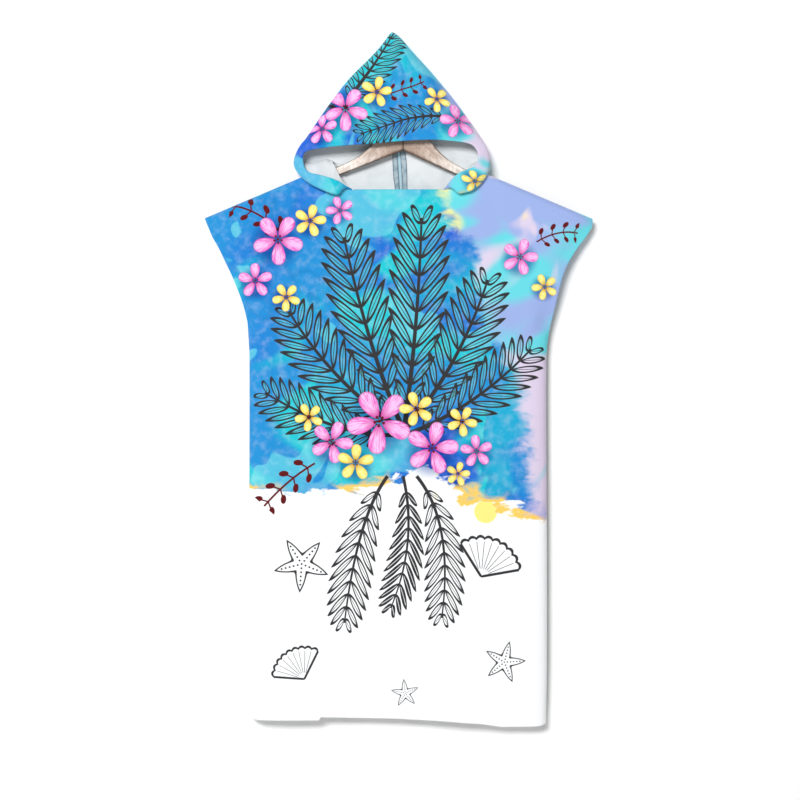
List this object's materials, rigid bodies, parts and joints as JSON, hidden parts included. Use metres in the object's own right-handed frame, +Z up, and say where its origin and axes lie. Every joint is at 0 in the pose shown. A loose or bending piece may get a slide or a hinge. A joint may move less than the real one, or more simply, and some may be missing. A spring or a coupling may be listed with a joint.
{
  "type": "hooded poncho beach towel on a wooden hanger",
  "caption": "Sleeveless hooded poncho towel hung flat on a wooden hanger, with pointed hood, cap sleeve openings, open neck and hem, and an all-over beach print.",
  "frame": {"origin": "inside of the hanger hook's crest, where a rail carries the hanger", "axes": "+Z up, the longest side of the hung towel; the front of the towel faces -Y, its thin side; +X to the right as seen from the front"},
  "size_m": [0.7529, 0.0452, 1.3425],
  "materials": {
    "printed_cloth": "soft brushed towelling with a printed face: turquoise, blue and lilac washes with line drawings and flowers over white",
    "plain_cloth": "the white, unprinted reverse of the same towelling",
    "hanger_wood": "pale pinkish wood, weathered, with brown specks and darker edges",
    "hook_steel": "plated steel wire"
  },
  "bodies": {
    "root": {"body_front": "printed_cloth", "body_back": "printed_cloth", "hood": "printed_cloth", "hood_face_hem": "printed_cloth", "hood_seam_strip_left": "plain_cloth", "hood_seam_strip_right": "plain_cloth", "neck_hem": "printed_cloth", "sleeve_hem_front_left": "printed_cloth", "sleeve_hem_front_right": "printed_cloth", "sleeve_hem_back_left": "printed_cloth", "sleeve_hem_back_right": "printed_cloth", "hem_front": "printed_cloth", "hem_back": "printed_cloth", "hanger_arm_left": "hanger_wood", "hanger_arm_right": "hanger_wood", "hanger_hook": "hook_steel"}
  },
  "joints": []
}
